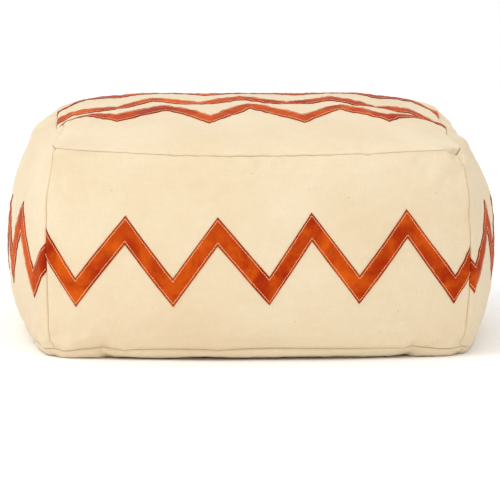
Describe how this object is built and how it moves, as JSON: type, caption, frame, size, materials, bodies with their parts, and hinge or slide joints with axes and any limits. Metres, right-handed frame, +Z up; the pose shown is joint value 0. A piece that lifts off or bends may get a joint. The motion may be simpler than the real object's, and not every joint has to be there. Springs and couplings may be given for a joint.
{
  "type": "moroccan pouf",
  "caption": "Low square floor pouf: a stuffed canvas cover of sewn panels, with stitched leather zigzag bands on its top and sides and a zip underneath.",
  "frame": {"origin": "on the floor, under the middle of the pouf", "axes": "+Z up; the front wall faces -Y; the three zigzags on the top run along X, with their points towards the front; the zip under the pouf runs along X and opens towards -X"},
  "size_m": [0.7053, 0.7052, 0.334],
  "materials": {
    "canvas": "matt cotton canvas",
    "leather": "cognac, mottled, semi-matt",
    "muslin": "matt",
    "cotton": "loose fibre",
    "tape": "matt woven tape",
    "nylon": "satin",
    "brass": "satin"
  },
  "bodies": {
    "cover": {"top_panel": "canvas", "front_panel": "canvas", "right_panel": "canvas", "back_panel": "canvas", "left_panel": "canvas", "bottom_front_panel": "canvas", "bottom_back_panel": "canvas", "top_front_zigzag": "leather", "top_middle_zigzag": "leather", "top_back_zigzag": "leather", "front_zigzag": "leather", "right_zigzag": "leather", "back_zigzag": "leather", "left_zigzag": "leather", "zip_tape_front": "tape", "zip_tape_back": "tape", "zip_coil_front": "nylon", "zip_coil_back": "nylon", "zip_top_stop_front": "brass", "zip_top_stop_back": "brass", "zip_bottom_stop": "brass", "liner_bag": "muslin", "stuffing": "cotton"},
    "slider": {"zip_slider": "brass"},
    "pull": {"zip_pull": "brass"}
  },
  "joints": [
    {"name": "zip_slide", "type": "slide", "parent": "cover", "child": "slider", "axis": [-1, 0, 0], "range_m": [0, 0.388]},
    {"name": "zip_pull_swing", "type": "hinge", "parent": "slider", "child": "pull", "pos_m": [0.1942, 0, 0.0021], "axis": [0, -1, 0], "range_deg": [0, 180]}
  ]
}
